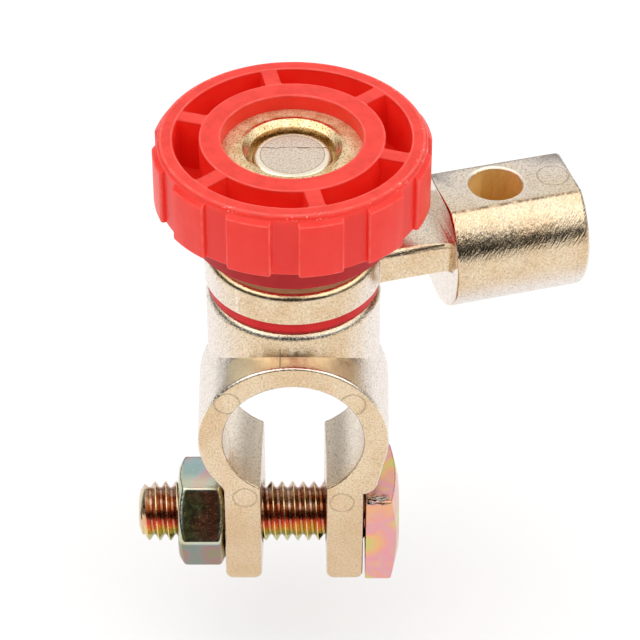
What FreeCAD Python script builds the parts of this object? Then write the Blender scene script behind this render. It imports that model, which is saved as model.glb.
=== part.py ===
import FreeCAD, Part
import math
import os

# Battery terminal disconnect switch, millimetres
# The origin is the middle of the post bore
# Y runs along the bore, from the front face to the rear face
# Z runs up along the knob's axis
# X runs along the clamp bolt, from its tip to its head

# Post barrel
post_bore_radius = 9.05
barrel_wall = 3.15
barrel_depth = 13.5
barrel_draft = 0.2
barrel_radius = post_bore_radius + barrel_wall
front_y = -barrel_depth / 2
rear_y = barrel_depth / 2

# Ears
slot_front_width = 8.6
slot_taper = 0.7
slot_corner_radius = 0.6
ear_thickness = 4.75
ear_draft = 0.3
ear_corner_radius = 1.0
ear_blend_radius = 2.0
bolt_below_barrel = 5.8
ear_below_bolt = 6.0
slot_rear_width = slot_front_width - slot_taper
ear_outer_x = slot_front_width / 2 + ear_thickness
bolt_z = -(barrel_radius + bolt_below_barrel)
ear_bottom_z = bolt_z - ear_below_bolt

# Pad over the bolt head, on the right shoulder
pad_end_above_bolt = 8.9
pad_corner_rise = 0.8
pad_side_rise = 2.2
pad_start_rise = 5.5
pad_corner_share = 0.4444
pad_side_share = 0.6032
shoulder_width = barrel_radius - ear_outer_x
pad_end_z = bolt_z + pad_end_above_bolt
pad_start_z = pad_end_z + pad_start_rise
pad_side = (ear_outer_x + pad_side_share * shoulder_width, pad_end_z + pad_side_rise)
pad_corner = (ear_outer_x + pad_corner_share * shoulder_width, pad_end_z + pad_corner_rise)

# Radii that grow outward from the stud, through the knob's metal core
stud_radius = 5.0
thread_clearance = 0.05
throat_gap = 0.4
mouth_step = 0.8
core_rim_width = 2.57
neck_step = 0.47
flange_width = 1.6
hex_step = 0.23
core_throat_radius = stud_radius + throat_gap
core_mouth_radius = core_throat_radius + mouth_step
hub_bore_radius = core_mouth_radius + core_rim_width
neck_radius = hub_bore_radius - neck_step
contact_radius = neck_radius + flange_width
hex_half_width = hub_bore_radius + hex_step

# Knob moulding
hub_wall = 2.78
pocket_width = 3.2
rim_wall = 2.0
grip_height = 0.6
hub_radius = hub_bore_radius + hub_wall
rim_inner_radius = hub_radius + pocket_width
rim_outer_radius = rim_inner_radius + rim_wall
rim_middle_radius = (rim_inner_radius + rim_outer_radius) / 2
grip_radius = rim_outer_radius + grip_height
rim_top_rounding = 0.6
rim_bottom_rounding = 0.4
pocket_corner = 0.3
pocket_edge = 0.2
spoke_count = 6
spoke_width = 2.1
spoke_angle = 12.2
grip_count = 12
grip_half_angle = 9.5
grip_edge = 0.35
grip_top_chamfer = 0.6

# Shroud collar under the knob
collar_gap = 0.4
collar_wall = 2.8
collar_flare = 0.25
collar_edge = 0.3
collar_lip = 1.6
collar_bottom_radius = contact_radius + collar_gap + collar_wall
collar_top_radius = collar_bottom_radius + collar_flare

# Cable arm's ring, washer, sleeve and column
running_clearance = 0.06
sleeve_wall = 1.25
sleeve_recess = 0.2
ring_beyond_contact = 1.42
washer_inset = 0.37
washer_edge = 0.15
column_inset = 0.12
sleeve_inner_radius = stud_radius + running_clearance
sleeve_outer_radius = sleeve_inner_radius + sleeve_wall
ring_bore_radius = sleeve_outer_radius + running_clearance
ring_radius = contact_radius + ring_beyond_contact
washer_radius = ring_radius - washer_inset
column_radius = ring_radius - column_inset

# Heights of the stack on the stud's axis, which stands back from the barrel's front
column_setback = 2.3
stud_y = front_y + column_radius + column_setback
column_foot_z = 1.5
foot_slope_rise = 5.0
seat_above_barrel = 3.5
seat_rounding = 1.3
relief_step = 0.55
relief_taper = 0.7
washer_thickness = 1.85
ring_thickness = 4.5
collar_above_ring = 2.3
collar_height = 5.15
knob_height = 8.8
pocket_floor_thickness = 1.8
hex_height = 4.0
grip_top_step = 0.7
core_top_step = 2.1
core_crown = 0.4
stud_top_step = 2.8
core_mouth_depth = 0.65
core_throat_depth = 2.0
contact_edge = 0.3
stud_rounding = 0.75
cast_edge_radius = 0.35
seat_z = barrel_radius + seat_above_barrel
relief_near_radius = post_bore_radius + relief_step
relief_far_radius = relief_near_radius + relief_taper
ring_bottom_z = seat_z + washer_thickness
ring_top_z = ring_bottom_z + ring_thickness
collar_bottom_z = ring_top_z + collar_above_ring
knob_bottom_z = collar_bottom_z + collar_height
collar_lip_z = knob_bottom_z - collar_lip
knob_top_z = knob_bottom_z + knob_height
pocket_floor_z = knob_bottom_z + pocket_floor_thickness
hex_top_z = knob_bottom_z + hex_height
grip_top_z = knob_top_z - grip_top_step
core_top_z = knob_top_z - core_top_step
stud_top_z = knob_top_z - stud_top_step

# Cable arm's bar and lug
arm_angle = 16.0
bar_half_width = 5.75
bar_blend_radius = 1.0
bar_overlap = 1.0
lug_beyond_grip = 1.95
lug_length = 17.9
lug_wall = 4.3
lug_above_ring_bottom = 0.55
lug_outer_edge = 0.8
lug_inner_edge = 0.3
lug_end_wall = 3.1
cable_bore_radius = 4.3
cable_bore_chamfer = 0.5
screw_hole_radius = 3.45
screw_hole_from_lug_start = 7.6
screw_hole_chamfer = 0.25
flat_beyond_screw_hole = 0.64
lug_start = grip_radius + lug_beyond_grip
lug_end = lug_start + lug_length
lug_radius = cable_bore_radius + lug_wall
lug_axis_z = ring_bottom_z + lug_above_ring_bottom
lug_flat_half_width = screw_hole_radius + flat_beyond_screw_hole
lug_flat_z = lug_axis_z + math.sqrt(lug_radius ** 2 - lug_flat_half_width ** 2)
cable_bore_depth = lug_length - lug_end_wall

# Clamp bolt and nut
bolt_radius = 3.97
bolt_hole_clearance = 0.33
bolt_tip_length = 5.3
bolt_tip_chamfer = 0.9
head_beyond_shank = 5.06
head_edge_thickness = 3.4
head_dome_height = 1.1
head_flat_share = 0.72
head_turn = -4.5
head_edge = 0.35
nut_beyond_shank = 4.76
nut_thickness = 6.25
nut_dome_height = 0.75
nut_flat_share = 0.93
nut_turn = 53.4
bolt_hole_radius = bolt_radius + bolt_hole_clearance
head_width = 2 * bolt_radius + head_beyond_shank
nut_width = 2 * bolt_radius + nut_beyond_shank
head_seat_x = ear_outer_x + ear_draft
nut_seat_x = -ear_outer_x
bolt_tip_x = nut_seat_x - nut_thickness - bolt_tip_length

origin = FreeCAD.Vector(0, 0, 0)
x_axis = FreeCAD.Vector(1, 0, 0)
y_axis = FreeCAD.Vector(0, 1, 0)
z_axis = FreeCAD.Vector(0, 0, 1)
stud_base = FreeCAD.Vector(0, stud_y, 0)
margin = 2.0
near = 0.3
hair = 0.01


def polar(radius, degrees):
    angle = math.radians(degrees)
    return FreeCAD.Vector(radius * math.cos(angle), radius * math.sin(angle), 0)


def revolve_profile(points, centre):
    """Turn a closed line of (radius, z) points a full turn about the Z axis through centre."""
    corners = [FreeCAD.Vector(radius, 0, z) for radius, z in points]
    face = Part.Face(Part.makePolygon(corners + corners[:1]))
    solid = face.revolve(origin, z_axis, 360)
    solid.translate(centre)
    return solid


def fillet_where(solid, radius, test):
    edges = [edge for edge in solid.Edges if test(edge)]
    return solid.makeFillet(radius, edges)


def edge_middle(edge):
    return edge.valueAt((edge.FirstParameter + edge.LastParameter) / 2)


def axis_distance(edge):
    """Distance of the edge's middle from the Z axis."""
    middle = edge_middle(edge)
    return math.hypot(middle.x, middle.y)


def runs_along(edge, axis):
    if len(edge.Vertexes) != 2:
        return False
    direction = edge.Vertexes[1].Point - edge.Vertexes[0].Point
    if direction.Length < hair:
        return False
    return abs(direction.dot(axis)) > 0.99 * direction.Length


# Clamp casting
def clamp_outline(y, radius, right_x):
    """Outer outline of the barrel with its ears, in the plane at y."""
    def at(x, z):
        return FreeCAD.Vector(x, y, z)
    left_x = -ear_outer_x
    left_z = -math.sqrt(radius ** 2 - left_x ** 2)
    start_x = math.sqrt(radius ** 2 - pad_start_z ** 2)
    grown = radius - barrel_radius
    pad_top = at(pad_side[0] + grown, pad_side[1])
    pad_end = at(right_x, pad_end_z)
    edges = [
        Part.Arc(at(left_x, left_z), at(0, radius), at(start_x, pad_start_z)).toShape(),
        Part.makeLine(at(start_x, pad_start_z), pad_top),
        Part.Arc(pad_top, at(pad_corner[0] + grown, pad_corner[1]), pad_end).toShape(),
        Part.makeLine(pad_end, at(right_x, ear_bottom_z)),
        Part.makeLine(at(right_x, ear_bottom_z), at(left_x, ear_bottom_z)),
        Part.makeLine(at(left_x, ear_bottom_z), at(left_x, left_z)),
    ]
    return Part.Wire(edges)


def ear_slot():
    """Drafted slot between the ears, open at the bottom and into the bore."""
    floor_z = ear_bottom_z - margin
    wires = []
    for y, width in ((front_y, slot_front_width), (rear_y, slot_rear_width)):
        half = width / 2
        corners = [
            FreeCAD.Vector(-half, y, floor_z),
            FreeCAD.Vector(half, y, floor_z),
            FreeCAD.Vector(half, y, 0),
            FreeCAD.Vector(-half, y, 0),
        ]
        wires.append(Part.makePolygon(corners + corners[:1]))
    return Part.makeLoft(wires, True, True)


def column():
    """Round column that carries the seat, with its foot sloped off behind the barrel."""
    solid = Part.makeCylinder(column_radius, seat_z - column_foot_z, FreeCAD.Vector(0, 0, column_foot_z))
    solid = fillet_where(solid, seat_rounding, lambda edge: edge_middle(edge).z > seat_z - hair)
    solid.translate(stud_base)
    reach = column_radius + margin
    corners = [
        FreeCAD.Vector(-reach, rear_y, column_foot_z - margin),
        FreeCAD.Vector(-reach, rear_y, column_foot_z),
        FreeCAD.Vector(-reach, rear_y + reach, column_foot_z + foot_slope_rise),
        FreeCAD.Vector(-reach, rear_y + reach, column_foot_z - margin),
    ]
    wedge = Part.Face(Part.makePolygon(corners + corners[:1])).extrude(x_axis * (2 * reach))
    return solid.cut(wedge)


def make_clamp_body():
    front = clamp_outline(front_y, barrel_radius, ear_outer_x)
    rear = clamp_outline(rear_y, barrel_radius + barrel_draft, ear_outer_x + ear_draft)
    solid = Part.makeLoft([front, rear], True, True)
    left_z = -math.sqrt(barrel_radius ** 2 - ear_outer_x ** 2)
    solid = fillet_where(
        solid, ear_blend_radius,
        lambda edge: runs_along(edge, y_axis) and edge_middle(edge).x < 0
        and abs(edge_middle(edge).z - left_z) < near)
    solid = solid.fuse(column()).removeSplitter()
    bore = Part.makeCylinder(post_bore_radius, barrel_depth + 2 * margin,
                             FreeCAD.Vector(0, front_y - margin, 0), y_axis)
    relief = Part.makeCone(relief_near_radius, relief_far_radius, column_radius + margin,
                           FreeCAD.Vector(0, rear_y, 0), y_axis)
    solid = solid.cut(bore).cut(relief).cut(ear_slot())
    solid = fillet_where(
        solid, ear_corner_radius,
        lambda edge: runs_along(edge, y_axis) and edge_middle(edge).z < ear_bottom_z + hair)
    slot_half = (slot_front_width + slot_rear_width) / 4
    slot_corner_z = -math.sqrt(post_bore_radius ** 2 - slot_half ** 2)
    solid = fillet_where(
        solid, slot_corner_radius,
        lambda edge: abs(abs(edge_middle(edge).x) - slot_half) < near
        and abs(edge_middle(edge).z - slot_corner_z) < near
        and abs(edge_middle(edge).y) < near)
    solid = fillet_where(
        solid, cast_edge_radius,
        lambda edge: edge.BoundBox.YMax < front_y + hair)
    holes = Part.makeCylinder(bolt_hole_radius, 2 * barrel_radius + 2 * margin,
                              FreeCAD.Vector(-barrel_radius - margin, 0, bolt_z), x_axis)
    solid = solid.cut(holes)
    stud = Part.makeCylinder(stud_radius, stud_top_z - seat_z + margin,
                             FreeCAD.Vector(0, 0, seat_z - margin))
    stud = fillet_where(stud, stud_rounding, lambda edge: edge_middle(edge).z > stud_top_z - hair)
    stud.translate(stud_base)
    return solid.fuse(stud).removeSplitter()


# Washer and sleeve round the stud
def make_lower_washer():
    inner = ring_bore_radius
    top = ring_bottom_z
    return revolve_profile([
        (inner, seat_z),
        (washer_radius - washer_edge, seat_z),
        (washer_radius, seat_z + washer_edge),
        (washer_radius, top - washer_edge),
        (washer_radius - washer_edge, top),
        (inner, top),
    ], stud_base)


def make_insulating_sleeve():
    top = ring_top_z - sleeve_recess
    return revolve_profile([
        (sleeve_inner_radius, seat_z),
        (sleeve_outer_radius, seat_z),
        (sleeve_outer_radius, top - sleeve_recess),
        (sleeve_outer_radius - sleeve_recess, top),
        (sleeve_inner_radius, top),
    ], stud_base)


# Cable arm casting, drawn along +X and then turned about the stud
def cable_lug():
    barrel = Part.makeCylinder(lug_radius, lug_end - lug_start, FreeCAD.Vector(lug_start, 0, lug_axis_z), x_axis)
    above = Part.makeBox(lug_end - lug_start + 2 * margin, 2 * lug_radius, lug_radius,
                         FreeCAD.Vector(lug_start - margin, -lug_radius, lug_flat_z))
    barrel = barrel.cut(above)
    barrel = fillet_where(barrel, lug_outer_edge, lambda edge: edge.BoundBox.XMin > lug_end - hair)
    return fillet_where(barrel, lug_inner_edge, lambda edge: edge.BoundBox.XMax < lug_start + hair)


def cable_bore():
    mouth = lug_end - cable_bore_chamfer
    bore = Part.makeCylinder(cable_bore_radius, cable_bore_depth,
                             FreeCAD.Vector(lug_end - cable_bore_depth, 0, lug_axis_z), x_axis)
    chamfer = Part.makeCone(cable_bore_radius, cable_bore_radius + cable_bore_chamfer, cable_bore_chamfer,
                            FreeCAD.Vector(mouth, 0, lug_axis_z), x_axis)
    return bore.fuse(chamfer)


def screw_hole():
    x = lug_start + screw_hole_from_lug_start
    hole = Part.makeCylinder(screw_hole_radius, lug_flat_z - lug_axis_z, FreeCAD.Vector(x, 0, lug_axis_z))
    chamfer = Part.makeCone(screw_hole_radius, screw_hole_radius + screw_hole_chamfer, screw_hole_chamfer,
                            FreeCAD.Vector(x, 0, lug_flat_z - screw_hole_chamfer))
    return hole.fuse(chamfer)


def make_cable_arm():
    ring = Part.makeCylinder(ring_radius, ring_thickness, FreeCAD.Vector(0, 0, ring_bottom_z))
    bar = Part.makeBox(lug_start + bar_overlap, 2 * bar_half_width, ring_thickness,
                       FreeCAD.Vector(0, -bar_half_width, ring_bottom_z))
    solid = ring.fuse(bar).removeSplitter()
    meet_x = math.sqrt(ring_radius ** 2 - bar_half_width ** 2)
    solid = fillet_where(
        solid, bar_blend_radius,
        lambda edge: runs_along(edge, z_axis) and abs(edge_middle(edge).x - meet_x) < near)
    solid = solid.fuse(cable_lug()).removeSplitter()
    solid = fillet_where(
        solid, bar_blend_radius,
        lambda edge: runs_along(edge, z_axis) and abs(edge_middle(edge).x - lug_start) < near
        and abs(abs(edge_middle(edge).y) - bar_half_width) < near)
    eye = Part.makeCylinder(ring_bore_radius, ring_thickness + 2 * margin,
                            FreeCAD.Vector(0, 0, ring_bottom_z - margin))
    solid = solid.cut(eye).cut(cable_bore()).cut(screw_hole())
    solid.rotate(origin, z_axis, arm_angle)
    solid.translate(stud_base)
    return solid


# Knob moulding, drawn about the Z axis; spoke angles are measured from the front face's side
def pocket():
    """One pocket between two spokes, with its middle on the +X axis."""
    half_spoke = spoke_width / 2
    half_step = 180.0 / spoke_count
    corners = []
    for radius, side in ((hub_radius, -1), (rim_inner_radius, -1), (rim_inner_radius, 1), (hub_radius, 1)):
        lean = half_step - math.degrees(math.asin(half_spoke / radius))
        corners.append(polar(radius, side * lean))
    wire = Part.Wire([
        Part.makeLine(corners[0], corners[1]),
        Part.Arc(corners[1], polar(rim_inner_radius, 0), corners[2]).toShape(),
        Part.makeLine(corners[2], corners[3]),
        Part.Arc(corners[3], polar(hub_radius, 0), corners[0]).toShape(),
    ])
    depth = knob_top_z - pocket_floor_z
    solid = Part.Face(wire).extrude(z_axis * depth)
    solid.translate(z_axis * pocket_floor_z)
    return fillet_where(solid, pocket_corner, lambda edge: runs_along(edge, z_axis))


def grip():
    """One grip lug on the rim, with its middle on the +X axis."""
    root = [polar(rim_middle_radius, -grip_half_angle), polar(rim_middle_radius, grip_half_angle)]
    tip = [polar(grip_radius, -grip_half_angle), polar(grip_radius, grip_half_angle)]
    wire = Part.Wire([
        Part.makeLine(root[0], tip[0]),
        Part.Arc(tip[0], polar(grip_radius, 0), tip[1]).toShape(),
        Part.makeLine(tip[1], root[1]),
        Part.Arc(root[1], polar(rim_middle_radius, 0), root[0]).toShape(),
    ])
    solid = Part.Face(wire).extrude(z_axis * (grip_top_z - knob_bottom_z))
    solid.translate(z_axis * knob_bottom_z)
    solid = fillet_where(
        solid, grip_edge,
        lambda edge: runs_along(edge, z_axis) and axis_distance(edge) > rim_outer_radius)
    solid = fillet_where(
        solid, grip_edge,
        lambda edge: edge.BoundBox.ZMax < knob_bottom_z + hair and axis_distance(edge) > grip_radius - grip_edge)
    slope_foot_z = grip_top_z - grip_top_chamfer
    reach = grip_radius + grip_top_chamfer
    ring = revolve_profile([
        (grip_radius, slope_foot_z),
        (reach, slope_foot_z),
        (reach, grip_top_z + hair),
        (grip_radius - grip_top_chamfer, grip_top_z + hair),
        (grip_radius - grip_top_chamfer, grip_top_z),
    ], origin)
    return solid.cut(ring)


def rim_blank():
    """Plain disc of the knob with rounded outer edges."""
    height = knob_top_z - knob_bottom_z
    disc = Part.makeCylinder(rim_outer_radius, height, FreeCAD.Vector(0, 0, knob_bottom_z))
    disc = fillet_where(disc, rim_top_rounding, lambda edge: edge_middle(edge).z > knob_top_z - hair)
    return fillet_where(disc, rim_bottom_rounding, lambda edge: edge_middle(edge).z < knob_bottom_z + hair)


def hexagon(half_width, bottom_z, height):
    corner_radius = half_width / math.cos(math.radians(30))
    corners = [polar(corner_radius, 60 * i) for i in range(6)]
    solid = Part.Face(Part.makePolygon(corners + corners[:1])).extrude(z_axis * height)
    solid.translate(z_axis * bottom_z)
    return solid


def make_knob():
    solid = rim_blank()
    first_spoke = spoke_angle - 90.0
    one_grip = grip()
    grips = []
    for i in range(grip_count):
        part = one_grip.copy()
        part.rotate(origin, z_axis, first_spoke + i * 360.0 / grip_count)
        grips.append(part)
    solid = solid.fuse(grips).removeSplitter()
    one_pocket = pocket()
    step = 360.0 / spoke_count
    pockets = []
    for i in range(spoke_count):
        part = one_pocket.copy()
        part.rotate(origin, z_axis, first_spoke + (i + 0.5) * step)
        pockets.append(part)
    solid = solid.cut(pockets)
    core_hole = Part.makeCylinder(hub_bore_radius, knob_top_z - knob_bottom_z + 2 * margin,
                                  FreeCAD.Vector(0, 0, knob_bottom_z - margin))
    hex_hole = hexagon(hex_half_width, knob_bottom_z - margin, hex_top_z - knob_bottom_z + margin)
    solid = solid.cut(core_hole).cut(hex_hole)
    solid = fillet_where(
        solid, pocket_edge,
        lambda edge: edge.BoundBox.ZMin > knob_top_z - hair and axis_distance(edge) < rim_middle_radius)
    solid.translate(stud_base)
    return solid


def make_knob_insert():
    bore = stud_radius + thread_clearance
    crown_z = core_top_z + core_crown
    mouth_z = crown_z - core_mouth_depth
    throat_z = core_top_z - core_throat_depth
    core = revolve_profile([
        (bore, ring_top_z),
        (contact_radius - contact_edge, ring_top_z),
        (contact_radius, ring_top_z + contact_edge),
        (contact_radius, collar_lip_z),
        (neck_radius, collar_lip_z),
        (neck_radius, knob_bottom_z),
        (hub_bore_radius, knob_bottom_z),
        (hub_bore_radius, core_top_z),
        (core_mouth_radius, crown_z),
        (core_throat_radius, mouth_z),
        (core_throat_radius, throat_z),
        (bore, throat_z),
    ], origin)
    hex_part = hexagon(hex_half_width, knob_bottom_z, hex_top_z - knob_bottom_z)
    bore_tool = Part.makeCylinder(neck_radius, hex_top_z - knob_bottom_z, FreeCAD.Vector(0, 0, knob_bottom_z))
    solid = core.fuse(hex_part.cut(bore_tool)).removeSplitter()
    solid.translate(stud_base)
    return solid


def make_contact_collar():
    lip_inner = neck_radius + collar_gap
    wall_inner = contact_radius + collar_gap
    return revolve_profile([
        (wall_inner, collar_bottom_z),
        (collar_bottom_radius - collar_edge, collar_bottom_z),
        (collar_bottom_radius, collar_bottom_z + collar_edge),
        (collar_top_radius, knob_bottom_z),
        (lip_inner, knob_bottom_z),
        (lip_inner, collar_lip_z),
        (wall_inner, collar_lip_z),
    ], stud_base)


# Clamp bolt and nut, drawn along +X
def domed_blank(half_diagonal, flat_radius, start_x, edge_x, dome_x):
    """Turned blank whose far end falls from a flat middle to a thinner edge."""
    corners = [
        FreeCAD.Vector(start_x, 0, 0),
        FreeCAD.Vector(start_x, half_diagonal, 0),
        FreeCAD.Vector(edge_x, half_diagonal, 0),
        FreeCAD.Vector(dome_x, flat_radius, 0),
        FreeCAD.Vector(dome_x, 0, 0),
    ]
    return Part.Face(Part.makePolygon(corners + corners[:1])).revolve(origin, x_axis, 360)


def make_clamp_bolt():
    shank = Part.makeCylinder(bolt_radius, head_seat_x - bolt_tip_x, FreeCAD.Vector(bolt_tip_x, 0, 0), x_axis)
    shank = shank.makeChamfer(bolt_tip_chamfer, [
        edge for edge in shank.Edges if edge.BoundBox.XMax < bolt_tip_x + hair])
    thickness = head_edge_thickness + head_dome_height
    half = head_width / 2
    head = Part.makeBox(thickness, head_width, head_width, FreeCAD.Vector(head_seat_x, -half, -half))
    head = fillet_where(head, head_edge, lambda edge: runs_along(edge, x_axis))
    blank = domed_blank(math.hypot(half, half), head_flat_share * half, head_seat_x,
                        head_seat_x + head_edge_thickness, head_seat_x + thickness)
    head = head.common(blank)
    head.rotate(origin, x_axis, head_turn)
    solid = shank.fuse(head).removeSplitter()
    solid.translate(z_axis * bolt_z)
    return solid


def make_clamp_nut():
    half = nut_width / 2
    corner_radius = half / math.cos(math.radians(30))
    corners = []
    for i in range(6):
        angle = math.radians(nut_turn + 60 * i)
        corners.append(FreeCAD.Vector(nut_seat_x, corner_radius * math.cos(angle), corner_radius * math.sin(angle)))
    solid = Part.Face(Part.makePolygon(corners + corners[:1])).extrude(x_axis * -nut_thickness)
    flat_radius = nut_flat_share * half
    outer = domed_blank(corner_radius, flat_radius, 0, nut_thickness - nut_dome_height, nut_thickness)
    inner = outer.copy()
    outer.rotate(origin, z_axis, 180)
    outer.translate(x_axis * nut_seat_x)
    inner.translate(x_axis * (nut_seat_x - nut_thickness))
    solid = solid.common(outer).common(inner)
    bore_radius = bolt_radius + thread_clearance
    bore = Part.makeCylinder(bore_radius, nut_thickness, FreeCAD.Vector(nut_seat_x - nut_thickness, 0, 0), x_axis)
    solid = solid.cut(bore)
    solid.translate(z_axis * bolt_z)
    return solid


parts = {
    "clamp_body": make_clamp_body(),
    "clamp_bolt": make_clamp_bolt(),
    "clamp_nut": make_clamp_nut(),
    "lower_washer": make_lower_washer(),
    "insulating_sleeve": make_insulating_sleeve(),
    "cable_arm": make_cable_arm(),
    "contact_collar": make_contact_collar(),
    "knob_insert": make_knob_insert(),
    "knob": make_knob(),
}

os.makedirs("parts", exist_ok=True)
for name, shape in parts.items():
    shape.exportStep("parts/" + name + ".step")
    print(name, shape.ShapeType, len(shape.Solids), shape.isValid(), round(shape.Volume, 1))
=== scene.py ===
import math
import bmesh
import bpy
from mathutils import Matrix, Vector


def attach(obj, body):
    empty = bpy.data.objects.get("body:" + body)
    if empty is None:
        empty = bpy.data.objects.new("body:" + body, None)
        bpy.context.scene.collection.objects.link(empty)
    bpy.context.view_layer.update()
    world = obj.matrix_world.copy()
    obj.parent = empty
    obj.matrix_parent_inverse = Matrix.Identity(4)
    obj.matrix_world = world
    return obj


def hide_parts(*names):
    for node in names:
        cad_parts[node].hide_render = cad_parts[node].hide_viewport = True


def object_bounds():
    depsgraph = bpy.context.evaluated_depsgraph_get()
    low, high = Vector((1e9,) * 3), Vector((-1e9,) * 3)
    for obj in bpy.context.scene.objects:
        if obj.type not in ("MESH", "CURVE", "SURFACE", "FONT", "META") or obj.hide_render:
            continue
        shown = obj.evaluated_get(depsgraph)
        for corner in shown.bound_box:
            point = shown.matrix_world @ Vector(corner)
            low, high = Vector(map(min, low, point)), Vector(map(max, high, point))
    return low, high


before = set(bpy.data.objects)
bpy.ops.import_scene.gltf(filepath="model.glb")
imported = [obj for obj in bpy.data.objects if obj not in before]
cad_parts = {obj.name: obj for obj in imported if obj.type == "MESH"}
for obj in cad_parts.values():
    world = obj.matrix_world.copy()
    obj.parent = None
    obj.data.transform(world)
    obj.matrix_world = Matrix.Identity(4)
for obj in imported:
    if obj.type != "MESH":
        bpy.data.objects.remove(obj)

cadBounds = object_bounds()
scene = bpy.context.scene
mm = 0.001
studY = 6.75 * mm    # the stud's axis stands this far behind the middle of the post bore

view = {
    "place": (0.003415, -0.285245, 0.244377),
    "tiltDown": 0.678,
    "focalPixels": 2899.4,
    "framePixels": 640,
    "sensor": 36.0,
    "nearest": 0.01,
}


def makeCamera():
    data = bpy.data.cameras.new("viewCamera")
    data.sensor_width = view["sensor"]
    data.lens = view["focalPixels"] / view["framePixels"] * view["sensor"]
    data.clip_start = view["nearest"]
    camera = bpy.data.objects.new("viewCamera", data)
    camera.location = view["place"]
    camera.rotation_euler = (math.pi / 2 - view["tiltDown"], 0.0, 0.0)
    scene.collection.objects.link(camera)
    scene.camera = camera


# white room: pale floor, bright ceiling, two big soft lamps, and a dim band low on the walls
studio = {
    "floorGap": 0.020,
    "floorSize": 6.0,
    "floorTone": 0.93,
    "floorRoughness": 0.9,
    "floorGloss": 0.1,
    "ceilingLevel": 0.98,
    "bandLevel": 0.03,
    "bandLevelBack": 0.36,        # the band is paler at the back
    "bandTop": (0.335, 0.460),    # height of the direction where the band ends
    "bandLean": 0.10,             # the band reaches less high at the back
    "back": (0.25, 0.97, 0.0),
    "backFade": (0.0, 0.90),
    "spotElevation": 34.0,        # a dark spot stands for the camera and its stand
    "spotSpread": (9.0, 15.0),
    "lampAim": (0.0, 0.0, 0.01),
    "lamps": {
        "keyLamp": {"place": (-0.45, -0.20, 0.90), "size": 1.30, "power": 4.4},
        "fillLamp": {"place": (0.62, -0.30, 0.72), "size": 1.30, "power": 3.2},
    },
}


def makeLamp(name, settings):
    data = bpy.data.lights.new(name, "AREA")
    data.shape = "DISK"
    data.size = settings["size"]
    data.energy = settings["power"]
    lamp = bpy.data.objects.new(name, data)
    lamp.location = settings["place"]
    aim = Vector(studio["lampAim"]) - Vector(settings["place"])
    lamp.rotation_euler = aim.to_track_quat("-Z", "Y").to_euler()
    scene.collection.objects.link(lamp)


def makeWorld():
    world = bpy.data.worlds.new("studioWorld")
    world.use_nodes = True
    nodes = world.node_tree.nodes
    links = world.node_tree.links
    nodes.clear()
    coords = nodes.new("ShaderNodeTexCoord")

    # how far a ray's direction points towards another direction
    def towards(direction):
        node = nodes.new("ShaderNodeVectorMath")
        node.operation = "DOT_PRODUCT"
        node.inputs[1].default_value = direction
        links.new(coords.outputs["Generated"], node.inputs[0])
        return node.outputs["Value"]

    def fade(value, low, high):
        node = nodes.new("ShaderNodeMapRange")
        node.interpolation_type = "SMOOTHSTEP"
        node.inputs["From Min"].default_value = low
        node.inputs["From Max"].default_value = high
        links.new(value, node.inputs["Value"])
        return node

    def glow():
        node = nodes.new("ShaderNodeBackground")
        node.inputs["Color"].default_value = (1, 1, 1, 1)
        return node

    band = fade(towards(studio["back"]), *studio["backFade"])
    band.inputs["To Min"].default_value = studio["bandLevel"]
    band.inputs["To Max"].default_value = studio["bandLevelBack"]
    level = fade(towards((0.0, studio["bandLean"], 1.0)), *studio["bandTop"])
    level.inputs["To Max"].default_value = studio["ceilingLevel"]
    links.new(band.outputs["Result"], level.inputs["To Min"])
    tilt = math.radians(studio["spotElevation"])
    near, far = (math.cos(math.radians(angle)) for angle in studio["spotSpread"])
    spot = fade(towards((0.0, -math.cos(tilt), math.sin(tilt))), far, near)
    links.new(level.outputs["Result"], spot.inputs["To Min"])
    spot.inputs["To Max"].default_value = studio["bandLevel"]
    lit = glow()
    links.new(spot.outputs["Result"], lit.inputs["Strength"])
    # the camera sees plain white behind the object
    rays = nodes.new("ShaderNodeLightPath")
    mix = nodes.new("ShaderNodeMixShader")
    links.new(rays.outputs["Is Camera Ray"], mix.inputs["Fac"])
    links.new(lit.outputs[0], mix.inputs[1])
    links.new(glow().outputs[0], mix.inputs[2])
    output = nodes.new("ShaderNodeOutputWorld")
    links.new(mix.outputs[0], output.inputs["Surface"])
    scene.world = world


def makeStudio():
    bm = bmesh.new()
    bmesh.ops.create_grid(bm, x_segments=1, y_segments=1, size=studio["floorSize"] / 2)
    bmesh.ops.translate(bm, verts=bm.verts, vec=(0, 0, cadBounds[0][2] - studio["floorGap"]))
    mesh = bpy.data.meshes.new("paleFloor")
    bm.to_mesh(mesh)
    bm.free()
    floor = bpy.data.objects.new("paleFloor", mesh)
    scene.collection.objects.link(floor)
    material = bpy.data.materials.new("paleFloor")
    material.use_nodes = True
    shader = material.node_tree.nodes["Principled BSDF"]
    tone = studio["floorTone"]
    shader.inputs["Base Color"].default_value = (tone, tone, tone, 1)
    shader.inputs["Roughness"].default_value = studio["floorRoughness"]
    shader.inputs["Specular IOR Level"].default_value = studio["floorGloss"]
    mesh.materials.append(material)
    for name, settings in studio["lamps"].items():
        makeLamp(name, settings)
    makeWorld()


scene.view_settings.view_transform = "Standard"
makeCamera()
makeStudio()
print("studio and camera ready")


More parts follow.
